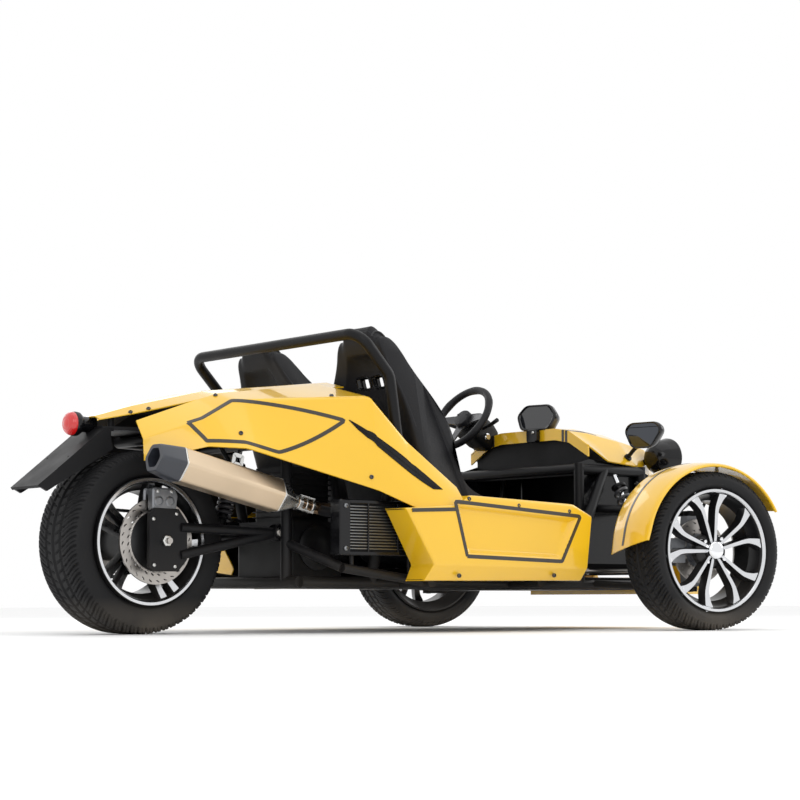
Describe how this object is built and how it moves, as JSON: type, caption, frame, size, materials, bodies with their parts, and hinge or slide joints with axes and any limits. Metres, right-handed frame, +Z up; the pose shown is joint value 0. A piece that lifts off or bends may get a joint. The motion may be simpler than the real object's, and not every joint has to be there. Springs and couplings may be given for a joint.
{
  "type": "three-wheeled open roadster (reverse trike)",
  "caption": "Open side-by-side reverse trike with steered front wheels under cycle mudguards, driven rear wheel, bucket seats, roll hoop and side exhaust",
  "frame": {"origin": "on the floor under the middle of the vehicle's length", "axes": "+X forward, +Y left, +Z up"},
  "size_m": [2.813, 1.8905, 1.05],
  "materials": {
    "yellow_body": "gloss",
    "frame_black": "satin",
    "black_plastic": "matte",
    "seat_leather": "satin",
    "tyre_rubber": "matte",
    "rim_alloy": "machined faces over black",
    "brake_steel": "brushed",
    "cast_alloy": "satin",
    "muffler_skin": "champagne satin",
    "pipe_steel": "heat tinted",
    "clear_lens": "clear",
    "red_lens": "gloss",
    "chain_steel": "oiled"
  },
  "bodies": {
    "chassis": {"belly_plate": "frame_black", "cowl": "yellow_body", "dash_panel": "black_plastic", "footwell_panels": "black_plastic", "drive_chain": "chain_steel", "engine": "cast_alloy", "exhaust_pipe": "pipe_steel", "floor_pan": "frame_black", "frame_crossmembers": "frame_black", "frame_front": "frame_black", "frame_outriggers": "frame_black", "frame_rails": "frame_black", "frame_tail": "frame_black", "frame_upper_rails": "frame_black", "front_arms": "frame_black", "headlight_housings": "black_plastic", "headlight_lenses": "clear_lens", "instrument_pod": "black_plastic", "mirrors": "black_plastic", "muffler": "muffler_skin", "muffler_cap": "black_plastic", "nose": "yellow_body", "pedals": "frame_black", "radiator": "cast_alloy", "rear_caliper": "cast_alloy", "rear_shafts": "brake_steel", "roll_hoop": "frame_black", "seat_left": "seat_leather", "seat_right": "seat_leather", "side_panel_left": "yellow_body", "side_panel_right": "yellow_body", "side_pod_left": "yellow_body", "side_pod_right": "yellow_body", "spring_units": "cast_alloy", "steering_column": "black_plastic", "steering_rack": "frame_black", "swingarm": "frame_black", "tail_bracket": "black_plastic", "tail_cover": "yellow_body", "tail_lamp": "red_lens"},
    "knuckle_right": {"knuckle_right": "cast_alloy", "fender_right": "yellow_body"},
    "front_wheel_right": {"front_rim_right": "rim_alloy", "front_tyre_right": "tyre_rubber", "front_disc_right": "brake_steel"},
    "knuckle_left": {"knuckle_left": "cast_alloy", "fender_left": "yellow_body"},
    "front_wheel_left": {"front_rim_left": "rim_alloy", "front_tyre_left": "tyre_rubber", "front_disc_left": "brake_steel"},
    "rear_wheel": {"rear_rim": "rim_alloy", "rear_tyre": "tyre_rubber", "rear_disc": "brake_steel", "rear_sprocket": "brake_steel"},
    "rack": {"tie_rods": "brake_steel"},
    "steering_wheel": {"steering_wheel": "black_plastic"}
  },
  "joints": [
    {"name": "steer_right", "type": "hinge", "parent": "chassis", "child": "knuckle_right", "pos_m": [0.9465, -0.72, 0.285], "axis": [0, 0, 1], "range_deg": [-18.3, 41.7]},
    {"name": "steer_left", "type": "hinge", "parent": "chassis", "child": "knuckle_left", "pos_m": [0.9465, 0.72, 0.285], "axis": [0, 0, 1], "range_deg": [-18.3, 41.7]},
    {"name": "rack_slide", "type": "slide", "parent": "chassis", "child": "rack", "axis": [0, 1, 0], "range_m": [-0.08026, 0.03533]},
    {"name": "steering_wheel_turn", "type": "hinge", "parent": "chassis", "child": "steering_wheel", "pos_m": [0.7015, 0.24, 0.825], "axis": [-0.848, 0, 0.5299], "range_deg": [-165.2, 375.8]},
    {"name": "front_right_spin", "type": "hinge", "parent": "knuckle_right", "child": "front_wheel_right", "pos_m": [0.93231, -0.78855, 0.285], "axis": [0.2028, 0.9792, 0], "continuous": true},
    {"name": "front_left_spin", "type": "hinge", "parent": "knuckle_left", "child": "front_wheel_left", "pos_m": [0.96069, 0.78855, 0.285], "axis": [0.2028, 0.9792, 0], "continuous": true},
    {"name": "rear_spin", "type": "hinge", "parent": "chassis", "child": "rear_wheel", "pos_m": [-0.9985, 0, 0.3], "axis": [0, 1, 0], "continuous": true}
  ],
  "couplings": [
    {"joint": "steer_left", "follows": "steer_right", "ratio": 1},
    {"joint": "rack_slide", "follows": "steer_right", "m_per_rad": -0.11},
    {"joint": "steering_wheel_turn", "follows": "steer_right", "ratio": 9}
  ]
}
